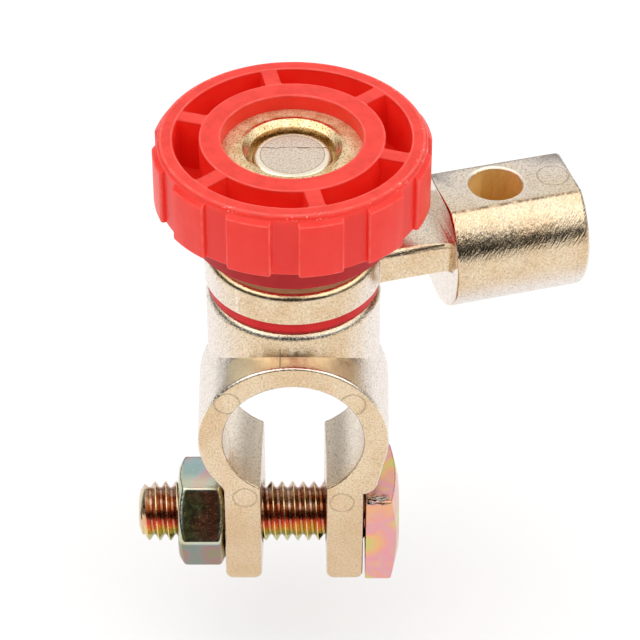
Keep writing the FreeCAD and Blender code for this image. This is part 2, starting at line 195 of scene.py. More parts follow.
# one material and the nodes that make it
class Finish:
    def __init__(self, name):
        self.material = bpy.data.materials.new(name)
        self.material.use_nodes = True
        self.nodes = self.material.node_tree.nodes
        self.links = self.material.node_tree.links
        self.shader = self.nodes["Principled BSDF"]
        self.coords = self.nodes.new("ShaderNodeTexCoord")

    def set(self, **values):
        for socket, value in values.items():
            self.shader.inputs[socket.replace("_", " ")].default_value = value

    def use(self, **sockets):
        for socket, value in sockets.items():
            self.links.new(value, self.shader.inputs[socket.replace("_", " ")])

    def join(self, value, socket):
        if hasattr(value, "is_output"):
            self.links.new(value, socket)
        else:
            socket.default_value = value

    def place(self, centre=(0, 0, 0), turn=(0, 0, 0), stretch=(1, 1, 1), vector=None):
        mapping = self.nodes.new("ShaderNodeMapping")
        mapping.vector_type = "POINT"
        # the node stretches, turns and then moves, so the centre is stretched and turned too
        move = Matrix.Diagonal(Vector(stretch)) @ Vector(centre)
        for angle, axis in zip(turn, "XYZ"):
            move = Matrix.Rotation(angle, 3, axis) @ move
        mapping.inputs["Scale"].default_value = stretch
        mapping.inputs["Rotation"].default_value = turn
        mapping.inputs["Location"].default_value = -move
        self.links.new(vector or self.coords.outputs["Object"], mapping.inputs["Vector"])
        return mapping.outputs["Vector"]

    def noise(self, size, detail=2.0, roughness=0.5, vector=None, distortion=0.0):
        node = self.nodes.new("ShaderNodeTexNoise")
        node.inputs["Scale"].default_value = 1.0 / size
        node.inputs["Detail"].default_value = detail
        node.inputs["Roughness"].default_value = roughness
        node.inputs["Distortion"].default_value = distortion
        self.links.new(vector or self.coords.outputs["Object"], node.inputs["Vector"])
        return node.outputs["Fac"]

    def ramp(self, value, stops):
        node = self.nodes.new("ShaderNodeValToRGB")
        elements = node.color_ramp.elements
        while len(elements) < len(stops):
            elements.new(0.5)
        for element, (place, colour) in zip(elements, stops):
            element.position = place
            element.color = colour + (1,)
        self.links.new(value, node.inputs["Fac"])
        return node.outputs["Color"]

    def spread(self, value, low, high, toLow=0.0, toHigh=1.0, smooth=False):
        node = self.nodes.new("ShaderNodeMapRange")
        node.interpolation_type = "SMOOTHSTEP" if smooth else "LINEAR"
        node.inputs["From Min"].default_value = low
        node.inputs["From Max"].default_value = high
        node.inputs["To Min"].default_value = toLow
        node.inputs["To Max"].default_value = toHigh
        self.links.new(value, node.inputs["Value"])
        return node.outputs["Result"]

    def math(self, operation, first, second=0.0, third=0.0):
        node = self.nodes.new("ShaderNodeMath")
        node.operation = operation
        for value, socket in zip((first, second, third), node.inputs):
            self.join(value, socket)
        return node.outputs["Value"]

    def chain(self, operation, values):
        result = values[0]
        for value in values[1:]:
            result = self.math(operation, result, value)
        return result

    def times(self, *values):
        return self.chain("MULTIPLY", values)

    def most(self, *values):
        return self.chain("MAXIMUM", values)

    def length(self, first, second):
        return self.math("SQRT", self.math("ADD", self.times(first, first), self.times(second, second)))

    def gap(self, value, middle):
        return self.math("ABSOLUTE", self.math("SUBTRACT", value, middle))

    def between(self, value, low, high, soft):
        rise = self.spread(value, low - soft, low + soft)
        fall = self.spread(value, high - soft, high + soft, 1.0, 0.0)
        return self.times(rise, fall)

    # noise of a size, detail and roughness, spread between two ends
    def spots(self, size, detail, roughness, *ends, vector=None):
        return self.spread(self.noise(size, detail, roughness, vector), *ends)

    def blend(self, amount, first, second, mode="MIX"):
        node = self.nodes.new("ShaderNodeMix")
        node.data_type = "RGBA"
        node.blend_type = mode
        self.join(amount, node.inputs[0])
        for value, socket in ((first, node.inputs[6]), (second, node.inputs[7])):
            self.join(value + (1,) if isinstance(value, tuple) else value, socket)
        return node.outputs[2]

    def bump(self, height, depth, before=None):
        node = self.nodes.new("ShaderNodeBump")
        node.inputs["Strength"].default_value = 1.0
        node.inputs["Distance"].default_value = depth
        self.links.new(height, node.inputs["Height"])
        if before:
            self.links.new(before, node.inputs["Normal"])
        return node.outputs["Normal"]

    def parts(self, vector=None):
        node = self.nodes.new("ShaderNodeSeparateXYZ")
        self.links.new(vector or self.coords.outputs["Object"], node.inputs["Vector"])
        return node.outputs["X"], node.outputs["Y"], node.outputs["Z"]

    # how far the surface faces upward
    def upward(self):
        return self.parts(self.coords.outputs["Normal"])[2]

    def edgeOn(self, low, high):
        node = self.nodes.new("ShaderNodeLayerWeight")
        node.inputs["Blend"].default_value = 0.5
        return self.spread(node.outputs["Facing"], low, high, smooth=True)

    # distance from the stud's axis, angle about it, and height
    def aroundStud(self):
        x, y, z = self.parts(self.place(centre=(0, studY, 0)))
        return self.length(x, y), self.math("ARCTAN2", y, x), z

    # thin circle in the plane across one axis, and only near that plane
    def ringLine(self, centre, radius, flat, width, near):
        x, y, z = self.parts(self.place(centre=centre))
        first, second, depth = {"Y": (x, z, y), "Z": (x, y, z)}[flat]
        away = self.gap(self.length(first, second), radius)
        line = self.spread(away, width / 2, width, 1.0, 0.0, smooth=True)
        return self.times(line, self.between(depth, *near))

    # a place sets limits on some values: three numbers are a band and its softness,
    # two or four are the ends of a spread
    def where(self, values, place):
        return self.times(*[
            self.between(values[name], *ends) if len(ends) == 3 else self.spread(values[name], *ends)
            for name, ends in place.items()])

    # lays marks over a colour one after the other, and gives each mark's mask too
    def layWearAndLight(self, colour, values, marks):
        masks = {}
        for name, mark in marks.items():
            mask = self.most(*[self.where(values, place) for place in mark["places"]])
            if "spots" in mark:
                mask = self.times(mask, self.spots(*mark["spots"]))
            colour = self.blend(self.times(mask, mark["strength"]), colour, mark["tone"])
            masks[name] = mask
        return colour, masks

    # how much of one kind of change the marks bring, such as duller
    def change(self, kind, masks, marks):
        return self.most(*[self.times(masks[name], mark[kind]) for name, mark in marks.items() if kind in mark])


casting = {
    "tan": (0.69, 0.49, 0.295),
    "cream": (0.76, 0.59, 0.40),
    "cloud": (4.0 * mm, 3.0, 0.5, 0.38, 0.62),
    "speck": (0.20, 0.15, 0.09),
    "speckSize": 0.20 * mm,
    "tintSize": 0.55 * mm,
    "edgeOn": (0.25, 0.68),
    "grain": {"size": 0.25 * mm, "detail": 3.0, "roughness": 0.65},
    "grainDepth": 0.040 * mm,
    "roughnessSpots": (0.9 * mm, 3.0, 0.5, 0.35, 0.65),
    "lineWidth": 0.13 * mm,
    "lineNear": (-0.5 * mm, 0.5 * mm, 0.05 * mm),
    "lineDepth": -0.05 * mm,
}

castWearAndSheen = {
    "greenTint": {"places": [{"tint": (0.40, 0.30)}], "strength": 0.45, "tone": (0.72, 0.64, 0.36)},
    "pinkTint": {"places": [{"tint": (0.60, 0.70)}], "strength": 0.45, "tone": (0.86, 0.56, 0.42)},
    # faces that point up are paler and greyer
    "paleUpFacing": {"places": [{"upward": (0.93, 0.99)}], "strength": 0.75, "tone": (0.77, 0.66, 0.53)},
    # painted highlight where the surface turns edge-on
    "rimLight": {"places": [{"edgeOn": (0.0, 1.0)}], "strength": 1.0, "tone": (0.86, 0.77, 0.71)},
    "grainPit": {"places": [{"grain": (0.34, 0.50, 1.0, 0.0)}], "strength": 0.75, "tone": (0.42, 0.36, 0.24)},
    "grainPeak": {"places": [{"grain": (0.54, 0.66)}], "strength": 0.45, "tone": (0.90, 0.82, 0.68)},
    "specks": {"places": [{"speck": (0.66, 0.72)}], "strength": 0.6, "tone": casting["speck"]},
}

# faint circles that ejector pins left on faces across one axis, as centre and radius
clampPins = {
    "flat": "Y",
    "strength": 0.35,
    "circles": [
        ((-8.33 * mm, -6.75 * mm, 6.47 * mm), 1.62 * mm),
        ((7.58 * mm, -6.75 * mm, 6.30 * mm), 1.62 * mm),
        ((-6.32 * mm, -6.75 * mm, -9.56 * mm), 1.55 * mm),
        ((6.27 * mm, -6.75 * mm, -10.44 * mm), 1.55 * mm),
    ],
}
armPins = {
    "flat": "Z",
    "strength": 0.2,
    "circles": [((33.29 * mm, 15.97 * mm, 25.66 * mm), 2.05 * mm)],
}


# colour and bump that both castings share
def castBase(name, pins, grainShare=1.0, calm=None):
    finish = Finish(name)
    finish.set(Metallic=1.0)
    grain = finish.noise(**casting["grain"])
    values = {
        "grain": grain,
        "tint": finish.noise(casting["tintSize"]),
        "speck": finish.noise(casting["speckSize"], detail=1.0),
        "upward": finish.upward(),
        "edgeOn": finish.edgeOn(*casting["edgeOn"]),
    }
    colour = finish.blend(finish.spots(*casting["cloud"]), casting["tan"], casting["cream"])
    colour = finish.layWearAndLight(colour, values, castWearAndSheen)[0]
    height = finish.times(grain, calm(finish)) if calm else grain
    normal = finish.bump(height, casting["grainDepth"] * grainShare)
    for centre, radius in pins["circles"]:
        line = finish.ringLine(centre, radius, pins["flat"], casting["lineWidth"], casting["lineNear"])
        colour = finish.blend(finish.times(line, pins["strength"]), colour, casting["speck"])
        normal = finish.bump(line, casting["lineDepth"], before=normal)
    return finish, colour, normal


clampLines = {
    "studLineY": 8.30 * mm,
    "studLineWander": (1.4 * mm, 2.0, 0.5, 0.3, 0.7, -0.22 * mm, 0.22 * mm),
    "seamX": -1.60 * mm,
    "seatWander": (0.6 * mm, 2.0, 0.5, 0.3, 0.7, -0.12 * mm, 0.12 * mm),
    "roughness": (0.16, 0.28),
}
studTop = (34.0 * mm, 34.1 * mm)
pastSeat = (10.8 * mm, 11.0 * mm)
inPostBore = {"fromBore": (9.12 * mm, 9.20 * mm, 1.0, 0.0), "y": (-6.5 * mm, 6.5 * mm, 0.1 * mm)}

clampWearAndLight = {
    # painted highlight on the rounding round the stud's dull top, with a painted shadow line inside it
    "studRimHighlight": {
        "places": [{"away": (4.02 * mm, 4.10 * mm), "z": studTop}],
        "strength": 0.75,
        "tone": (0.97, 0.88, 0.70),
    },
    "studRimShadow": {
        "places": [{"away": (3.92 * mm, 4.04 * mm, 0.05 * mm), "z": studTop}],
        "strength": 0.55,
        "tone": (0.36, 0.17, 0.08),
    },
    # painted golden reflection on the shoulder between the barrel's front edge and the column, on faces half turned
    # up
    "shoulderReflection": {
        "places": [{
            "z": (9.0 * mm, 12.35 * mm, 0.5 * mm),
            "y": (-6.2 * mm, -2.0 * mm, 0.2 * mm),
            "upward": (0.35, 0.75),
        }],
        "strength": 0.6,
        "tone": (0.92, 0.75, 0.42),
        "duller": 0.18,
    },
    # the mould's parting line shows on top of the stud and at the foot of the column
    "partingLine": {
        "places": [
            {"fromStudLine": (0.05 * mm, 0.12 * mm, 1.0, 0.0), "z": (35.0 * mm, 35.2 * mm)},
            {
                "fromSeam": (0.03 * mm, 0.10 * mm, 1.0, 0.0),
                "z": (12.0 * mm, 13.6 * mm, 0.3 * mm),
                "y": (-2.0 * mm, -1.0 * mm, 1.0, 0.0),
            },
        ],
        "strength": 0.8,
        "tone": casting["speck"],
    },
    # painted highlight on the rounding round the seat, with painted dark reflection specks in it
    "seatHighlight": {
        "places": [{"seatHeight": (14.92 * mm, 15.60 * mm, 0.10 * mm), "away": pastSeat}],
        "strength": 0.75,
        "tone": (0.98, 0.94, 0.84),
    },
    "seatDarkReflection": {
        "places": [{"seatHeight": (14.70 * mm, 15.05 * mm, 0.10 * mm), "away": pastSeat}],
        "spots": (0.24 * mm, 2.0, 0.5, 0.50, 0.56),
        "strength": 0.75,
        "tone": casting["speck"],
    },
    # a painted shade line follows the barrel's front edge, with a painted highlight line before it
    "frontShadeLine": {
        "places": [{"y": (-6.42 * mm, -6.28 * mm, 0.06 * mm), "z": (2.0 * mm, 6.0 * mm)}],
        "spots": (0.5 * mm, 2.0, 0.5, 0.40, 0.60),
        "strength": 0.75,
        "tone": casting["speck"],
    },
    "frontHighlight": {
        "places": [{"y": (-6.66 * mm, -6.46 * mm, 0.05 * mm), "z": (0.0, 5.0 * mm)}],
        "strength": 0.7,
        "tone": (0.98, 0.95, 0.88),
    },
    # painted light: paler colour inside the post bore, with real pits and a duller surface
    "bore": {
        "places": [inPostBore],
        "strength": 0.65,
        "tone": (0.98, 0.88, 0.74),
        "duller": 0.12,
    },
    "borePits": {
        "places": [inPostBore],
        "spots": (0.24 * mm, 2.0, 0.5, 0.54, 0.62),
        "strength": 0.55,
        "tone": (0.36, 0.29, 0.20),
    },
    # the ears' lower ends are a deeper tan
    "earEnds": {
        "places": [{"z": (-16.0 * mm, -7.0 * mm, 1.0, 0.0)}],
        "strength": 0.45,
        "tone": (0.58, 0.40, 0.23),
    },
}


def clampPlating():
    finish, colour, normal = castBase("castPlating", clampPins)
    x, y, z = finish.parts()
    wandering = finish.math("ADD", y, finish.spots(*clampLines["studLineWander"]))
    values = {
        "y": y,
        "z": z,
        "away": finish.aroundStud()[0],
        "fromBore": finish.length(x, z),
        "upward": finish.upward(),
        "fromStudLine": finish.gap(wandering, clampLines["studLineY"]),
        "fromSeam": finish.gap(x, clampLines["seamX"]),
        "seatHeight": finish.math("ADD", z, finish.spots(*clampLines["seatWander"])),
    }
    colour, masks = finish.layWearAndLight(colour, values, clampWearAndLight)
    normal = finish.bump(masks["partingLine"], casting["lineDepth"], before=normal)
    roughness = finish.spots(*casting["roughnessSpots"], *clampLines["roughness"])
    roughness = finish.math("ADD", roughness, finish.change("duller", masks, clampWearAndLight))
    finish.use(Base_Color=colour, Roughness=roughness, Normal=normal)
    return finish.material


lug = {
    "z": 18.1 * mm,
    "turn": math.radians(16.0),
    "screwHole": 26.9 * mm,                              # from the stud, along the lug
    "smoothEnd": (19.0 * mm, 19.55 * mm, 0.1 * mm),      # its inner end has hardly any grain
    "smoothing": 0.9,
    "grainShare": 0.75,
    "roughness": (0.12, 0.22),
}

# steep brushed strokes on the lug's barrel, fainter on its flat; their dark colour is a painted dark reflection,
# stronger higher up the barrel
strokes = {
    "lean": (0, -0.45, 0.16),
    "stretch": (1.0, 0.22, 0.22),
    "noise": {"size": 0.24 * mm, "detail": 1.0, "distortion": 0.5},
    "place": {"along": (19.4 * mm, 19.8 * mm), "above": (7.45 * mm, 7.55 * mm, 1.0, 0.25)},
    "depth": 1.6 * casting["grainDepth"],
    "darkEnds": (0.34, 0.46, 1.0, 0.0),
    "reflectionByHeight": (2.4 * mm, 4.4 * mm, 0.15, 0.60),
    "tone": (0.44, 0.37, 0.26),
}
ringWall = (11.40 * mm, 11.50 * mm, 1.0, 0.0)

armPaintedLight = {
    # painted highlight: an upright streak at the left of the ring
    "streakHighlight": {
        "places": [{"x": (-7.15 * mm, -6.75 * mm, 0.12 * mm), "y": (2.0 * mm, 3.0 * mm, 1.0, 0.0)}],
        "spots": (0.35 * mm, 2.0, 0.5, 0.42, 0.55),
        "strength": 0.6,
        "tone": (0.90, 0.84, 0.76),
    },
    # painted light: pale yellow, less metallic colour on top of the ring lifts it out of the shade under the collar
    # and knob, with a painted golden reflection on its rounding and a painted dark reflection line under it
    "ringTopLight": {
        "places": [{"z": (21.90 * mm, 22.30 * mm, 0.03 * mm), "away": (10.70 * mm, 10.90 * mm, 1.0, 0.0)}],
        "strength": 0.9,
        "tone": (0.96, 0.98, 0.58),
        "lessMetal": 0.65,
    },
    "ringRoundingReflection": {
        "places": [{"z": (21.46 * mm, 21.98 * mm, 0.05 * mm), "away": ringWall}],
        "strength": 0.6,
        "tone": (0.90, 0.68, 0.36),
    },
    "ringDarkReflection": {
        "places": [{"z": (21.20 * mm, 21.42 * mm, 0.04 * mm), "away": ringWall}],
        "spots": (0.45 * mm, 3.0, 0.7, 0.46, 0.54),
        "strength": 0.45,
        "tone": (0.10, 0.07, 0.04),
    },
    # painted reflection: ochre inside the screw hole and the cable bore stands for their walls reflecting one
    # another
    "inside": {
        "places": [
            {"fromHole": (3.50 * mm, 3.56 * mm, 1.0, 0.0), "z": (25.30 * mm, 25.40 * mm, 1.0, 0.0)},
            {"fromCable": (4.40 * mm, 4.50 * mm, 1.0, 0.0), "along": (21.0 * mm, 21.2 * mm)},
        ],
        "strength": 1.0,
        "tone": (0.84, 0.56, 0.19),
        "duller": 0.25,
        "lessMetal": 0.65,
    },
    # painted highlight on the screw hole's chamfer
    "holeLipHighlight": {
        "places": [{"fromHole": (3.46 * mm, 3.78 * mm, 0.05 * mm), "z": (25.36 * mm, 25.42 * mm)}],
        "strength": 0.7,
        "tone": (0.98, 0.92, 0.78),
        "duller": 0.25,
    },
    # painted shade: thin dark line along the front edges of the flat and the bar
    "frontEdgeShade": {
        "places": [
            {
                "z": (25.42 * mm, 25.60 * mm, 0.05 * mm),
                "across": (-2.6 * mm, -2.4 * mm, 1.0, 0.0),
                "along": (19.0 * mm, 19.2 * mm),
            },
            {
                "above": (3.10 * mm, 3.32 * mm, 0.05 * mm),
                "across": (-5.5 * mm, -5.4 * mm, 1.0, 0.0),
                "along": (11.0 * mm, 19.2 * mm, 0.3 * mm),
            },
        ],
        "spots": (0.6 * mm, 2.0, 0.5, 0.36, 0.56),
        "strength": 0.8,
        "tone": (0.16, 0.10, 0.07),
    },
}


# distances along, across and above the lug's axis, from the stud's axis outward
def aroundLug(finish):
    return finish.parts(finish.place(centre=(0, studY, lug["z"]), turn=(0, 0, -lug["turn"])))


# nearly 0 at the lug's smooth inner end and 1 along its barrel
def beyondLugEnd(finish):
    near = finish.between(aroundLug(finish)[0], *lug["smoothEnd"])
    return finish.math("SUBTRACT", 1.0, finish.times(near, lug["smoothing"]))


def armPlating():
    finish, colour, normal = castBase("armPlating", armPins, lug["grainShare"], beyondLugEnd)
    x, y, z = finish.parts()
    along, across, above = aroundLug(finish)
    hole = (lug["screwHole"] * math.cos(lug["turn"]), studY + lug["screwHole"] * math.sin(lug["turn"]), 0)
    holeX, holeY = finish.parts(finish.place(centre=hole))[:2]
    values = {
        "x": x,
        "y": y,
        "z": z,
        "along": along,
        "across": across,
        "above": above,
        "away": finish.aroundStud()[0],
        "fromHole": finish.length(holeX, holeY),
        "fromCable": finish.length(across, above),
    }
    leaning = finish.place(stretch=strokes["stretch"], vector=finish.place(turn=strokes["lean"]))
    brushed = finish.noise(vector=leaning, **strokes["noise"])
    onLug = finish.where(values, strokes["place"])
    normal = finish.bump(finish.times(brushed, onLug), strokes["depth"], before=normal)
    # painted dark reflection along the brushed strokes
    dark = finish.times(finish.spread(brushed, *strokes["darkEnds"]),
                        finish.spread(above, *strokes["reflectionByHeight"]), onLug)
    colour = finish.blend(dark, colour, strokes["tone"])
    colour, masks = finish.layWearAndLight(colour, values, armPaintedLight)
    roughness = finish.spots(*casting["roughnessSpots"], *lug["roughness"])
    roughness = finish.math("ADD", roughness, finish.change("duller", masks, armPaintedLight))
    metal = finish.math("SUBTRACT", 1.0, finish.change("lessMetal", masks, armPaintedLight))
    finish.use(Base_Color=colour, Metallic=metal, Roughness=roughness, Normal=normal)
    return finish.material


reds = {
    "knob": {"base": (0.95, 0.040, 0.022), "deep": (0.92, 0.028, 0.014), "gloss": 0.4, "glow": 0.5},
    # the collar is painted a darker red than the knob: painted shade under the knob's rim
    "collar": {"base": (0.52, 0.014, 0.016), "deep": (0.46, 0.010, 0.013), "gloss": 0.2, "glow": 0.2},
    "washer": {"base": (0.76, 0.018, 0.018), "deep": (0.66, 0.012, 0.013), "gloss": 0.2, "glow": 0.2},
}
redSurface = {
    "glowDepth": 1.2 * mm,
    "glowReach": (1.0, 0.10, 0.05),
    "cloud": (3.0 * mm, 3.0, 0.5, 0.35, 0.65),
    "texture": {"size": 0.35 * mm, "detail": 3.0, "roughness": 0.6},
    "roughness": (0.3, 0.7, 0.34, 0.46),
    "depth": 0.006 * mm,
}


def redPlastic(name, red):
    finish = Finish(name)
    finish.set(Specular_IOR_Level=red["gloss"], Subsurface_Weight=red["glow"],
               Subsurface_Scale=redSurface["glowDepth"], Subsurface_Radius=redSurface["glowReach"])
    colour = finish.blend(finish.spots(*redSurface["cloud"]), red["deep"], red["base"])
    texture = finish.noise(**redSurface["texture"])
    finish.use(Base_Color=colour, Roughness=finish.spread(texture, *redSurface["roughness"]),
               Normal=finish.bump(texture, redSurface["depth"]))
    return finish, colour


# painted shade: the knob's top face is painted a darker red than its sides, in soft patches
knobTop = {
    "z": (37.9 * mm, 38.1 * mm),
    "topShade": (2.2 * mm, 4.0, 0.6, 0.38, 0.62),
    "base": (0.84, 0.044, 0.026),
    "deep": (0.72, 0.030, 0.015),
}
grips = {
    "first": math.radians(12.2),    # middle of the first grip, from +X
    "half": math.radians(15.0),     # half the angle from one grip to the next
    "scuffCloud": 4.0 * mm,
}
gripFace = (16.9 * mm, 17.0 * mm)

knobWearAndLight = {
    # painted shade: the hollows between the grips are darker
    "hollowShade": {
        "places": [{
            "turned": (math.radians(9.6), math.radians(11.5)),
            "away": (16.5 * mm, 16.6 * mm),
            "z": (36.9 * mm, 37.6 * mm, 1.0, 0.0),
        }],
        "strength": 0.55,
        "tone": (0.80, 0.020, 0.012),
    },
    # thin edges let more light through and look paler
    "thinEdges": {
        "places": [
            {"turned": (math.radians(8.7), math.radians(9.4), math.radians(0.25)), "away": gripFace},
            {"z": (29.50 * mm, 29.75 * mm, 0.05 * mm), "away": gripFace},
            {"z": (37.00 * mm, 37.15 * mm, 0.05 * mm), "away": gripFace},
            {"away": (8.80 * mm, 9.05 * mm, 0.06 * mm), "z": knobTop["z"]},
            {"away": (11.28 * mm, 11.50 * mm, 0.06 * mm), "z": knobTop["z"]},
            {"away": (14.80 * mm, 15.02 * mm, 0.06 * mm), "z": knobTop["z"]},
            {"away": (16.15 * mm, 16.45 * mm, 0.06 * mm), "z": knobTop["z"]},
        ],
        "spots": (1.1 * mm, 3.0, 0.5, 0.32, 0.68, 0.15, 0.65),
        "strength": 1.0,
        "tone": (0.98, 0.17, 0.13),
    },
    # whitish scuffs along the rim
    "scuffs": {
        "places": [{
            "away": (16.0 * mm, 16.9 * mm, 0.1 * mm),
            "z": (37.5 * mm, 37.8 * mm),
            "scuffCloud": (0.45, 0.60),
        }],
        "spots": (0.28 * mm, 3.0, 0.5, 0.62, 0.66),
        "strength": 0.6,
        "tone": (0.98, 0.62, 0.55),
    },
}


def knobPlastic():
    finish, colour = redPlastic("knobPlastic", reds["knob"])
    away, angle, z = finish.aroundStud()
    # painted shade on the top face
    face = finish.blend(finish.spots(*knobTop["topShade"]), knobTop["base"], knobTop["deep"])
    colour = finish.blend(finish.spread(z, *knobTop["z"]), colour, face)
    fromFirst = finish.math("SUBTRACT", angle, grips["first"])
    values = {
        "z": z,
        "away": away,
        "turned": finish.math("ABSOLUTE", finish.math("WRAP", fromFirst, grips["half"], -grips["half"])),
        "scuffCloud": finish.noise(grips["scuffCloud"]),
    }
    colour = finish.layWearAndLight(colour, values, knobWearAndLight)[0]
    finish.use(Base_Color=colour)
    return finish.material


def shadedCollarPlastic():
    return redPlastic("shadedCollarPlastic", reds["collar"])[0].material


washerShade = {
    # painted shade along the washer's lower edge
    "lowerEdgeShade": {
        "places": [{"z": (15.95 * mm, 16.25 * mm, 1.0, 0.0)}],
        "strength": 0.75,
        "tone": (0.34, 0.006, 0.006),
    },
}


def washerPlastic():
    finish, colour = redPlastic("washerPlastic", reds["washer"])
    finish.use(Base_Color=finish.layWearAndLight(colour, {"z": finish.parts()[2]}, washerShade)[0])
    return finish.material


sleeve = {
    "deep": (0.76, 0.72, 0.62),
    "base": (0.84, 0.81, 0.72),
    "gloss": 0.4,
    "cloud": (1.5 * mm, 3.0, 0.5, 0.3, 0.7),
    "roughness": (0.25 * mm, 2.0, 0.5, 0.3, 0.7, 0.42, 0.58),
}


def sleevePlastic():
    finish = Finish("sleevePlastic")
    finish.set(Specular_IOR_Level=sleeve["gloss"])
    finish.use(Base_Color=finish.blend(finish.spots(*sleeve["cloud"]), sleeve["deep"], sleeve["base"]),
               Roughness=finish.spots(*sleeve["roughness"]))
    return finish.material


core = {
    "gold": (0.70, 0.47, 0.22),
    "pale": (0.86, 0.70, 0.44),
    "cloud": {"size": 1.2 * mm, "detail": 4.0},
    "paleEnds": (0.35, 0.65),
    "speck": (0.20, 0.09, 0.04),
    "specks": (0.20 * mm, 1.0, 0.5, 0.56, 0.66, 0.0, 0.75),
    "grainSize": 0.22 * mm,
    "grainDepth": 0.020 * mm,
    "roughness": (0.3, 0.7, 0.16, 0.30),
    "flat": (6.6 * mm, 6.85 * mm),    # the flat is duller than the turned step inside it
    "flatDuller": 0.20,
    "flatLessMetal": 0.45,
}


def corePlating():
    finish = Finish("corePlating")
    cloud = finish.noise(**core["cloud"])
    colour = finish.blend(finish.spread(cloud, *core["paleEnds"]), core["gold"], core["pale"])
    colour = finish.blend(finish.spots(*core["specks"]), colour, core["speck"])
    flat = finish.spread(finish.aroundStud()[0], *core["flat"])
    roughness = finish.spread(cloud, *core["roughness"])
    roughness = finish.math("ADD", roughness, finish.times(flat, core["flatDuller"]))
    finish.use(Base_Color=colour, Roughness=roughness,
               Metallic=finish.math("SUBTRACT", 1.0, finish.times(flat, core["flatLessMetal"])),
               Normal=finish.bump(finish.noise(core["grainSize"]), core["grainDepth"]))
    return finish.material


zinc = {
    "cloud": {"detail": 1.0, "distortion": 0.4},
    "fine": {"size": 0.8 * mm, "detail": 4.0, "roughness": 0.6},
    "greyEnds": (0.35, 0.65, 0.0, 0.25),
    "grey": (0.55, 0.50, 0.42),
    "grain": {"size": 0.30 * mm, "detail": 3.0},
    "grainDepth": 0.004 * mm,
    "scratchTurn": (0.5, 0.3, 0.2),
    "scratchStretch": (1.0, 0.08, 1.0),
    "scratches": (0.12 * mm, 1.0, 0.5, 0.70, 0.76),
    "scratchStrength": 0.5,
    "scratchTone": (0.75, 0.68, 0.55),
    "scratchDepth": -0.006 * mm,
    "roughness": (0.3, 0.7, 0.12, 0.24),
}


# plating that shifts through the colours of its stops in soft patches
def yellowZinc(name, stops, patch, shift=(0, 0, 0)):
    finish = Finish(name)
    finish.set(Metallic=1.0)
    colour = finish.ramp(finish.noise(patch, vector=finish.place(centre=shift), **zinc["cloud"]), stops)
    fine = finish.noise(**zinc["fine"])
    colour = finish.blend(finish.spread(fine, *zinc["greyEnds"]), colour, zinc["grey"])
    turned = finish.place(turn=zinc["scratchTurn"], stretch=zinc["scratchStretch"])
    scratch = finish.spots(*zinc["scratches"], vector=turned)
    colour = finish.blend(finish.times(scratch, zinc["scratchStrength"]), colour, zinc["scratchTone"])
    grain = finish.bump(finish.noise(**zinc["grain"]), zinc["grainDepth"])
    normal = finish.bump(scratch, zinc["scratchDepth"], before=grain)
    finish.use(Base_Color=colour, Roughness=finish.spread(fine, *zinc["roughness"]), Normal=normal)
    return finish, colour, normal


head = {
    "patch": 5.0 * mm,
    "shift": (1 * mm, 0, 2 * mm),
    "stops": [
        (0.32, (0.62, 0.52, 0.14)),
        (0.40, (0.80, 0.40, 0.17)),
        (0.47, (0.77, 0.33, 0.27)),
        (0.55, (0.73, 0.31, 0.36)),
        (0.62, (0.74, 0.38, 0.24)),
        (0.70, (0.60, 0.54, 0.18)),
    ],
    # chipped plating on the edge between the head's top and front facets
    "chipPlace": {
        "z": (-11.45 * mm, -10.80 * mm, 0.18 * mm),
        "x": (9.4 * mm, 12.2 * mm, 0.3 * mm),
        "y": (-5.0 * mm, -4.0 * mm, 1.0, 0.0),
    },
    "chipStretch": (0.45, 1.0, 1.0),
    "chips": (0.40 * mm, 3.0, 0.7, 0.44, 0.50),
    "chipPatches": (0.30 * mm, 2.0, 0.5, 0.47, 0.55),
    "chipDark": (0.04, 0.03, 0.03),
    "chipPale": (0.70, 0.68, 0.64),
    "chipDepth": -0.05 * mm,
}


def headZinc():
    finish, colour, normal = yellowZinc("headZinc", head["stops"], head["patch"], head["shift"])
    long = finish.place(stretch=head["chipStretch"])
    spot = finish.where(dict(zip("xyz", finish.parts())), head["chipPlace"])
    chipped = finish.times(spot, finish.spots(*head["chips"], vector=long))
    shade = finish.blend(finish.spots(*head["chipPatches"], vector=long), head["chipDark"], head["chipPale"])
    finish.use(Base_Color=finish.blend(chipped, colour, shade),
               Normal=finish.bump(chipped, head["chipDepth"], before=normal))
    return finish.material


nut = {
    "patch": 6.0 * mm,
    "stops": [
        (0.32, (0.36, 0.38, 0.20)),
        (0.41, (0.30, 0.42, 0.34)),
        (0.50, (0.28, 0.43, 0.44)),
        (0.57, (0.36, 0.42, 0.42)),
        (0.63, (0.56, 0.30, 0.35)),
        (0.70, (0.44, 0.40, 0.24)),
    ],
    # brown on the front facet, from olive at its left to red at its right
    "frontPlace": {
        "z": (-16.9 * mm, -11.6 * mm, 0.20 * mm),
        "y": (-2.6 * mm, -2.2 * mm, 1.0, 0.0),
        "x": (-14.6 * mm, -9.9 * mm, 0.15 * mm),
    },
    "frontStrength": 0.9,
    "frontShift": (2.0 * mm, 2.0, 0.5, 0.3, 0.7, -1.2 * mm, 1.2 * mm),
    "frontEnds": (-13.8 * mm, -11.2 * mm),
    "frontLeft": (0.34, 0.34, 0.12),
    "frontRight": (0.56, 0.20, 0.10),
    "below": (-17.8 * mm, -17.4 * mm, 1.0, 0.0),
    "belowTone": (0.56, 0.50, 0.42),
}
nutHighlights = {
    # painted highlight tint along both end faces and along the front facet's upper and lower edges
    "edgeHighlights": {
        "places": [
            {"x": (-14.87 * mm, -14.63 * mm, 1.0, 0.0)},
            {"x": (-9.87 * mm, -9.63 * mm)},
            {"z": (-11.55 * mm, -10.99 * mm, 0.12 * mm)},
            {"z": (-17.44 * mm, -16.88 * mm, 0.12 * mm)},
        ],
        "strength": 0.6,
        "tone": (0.70, 0.64, 0.44),
    },
}


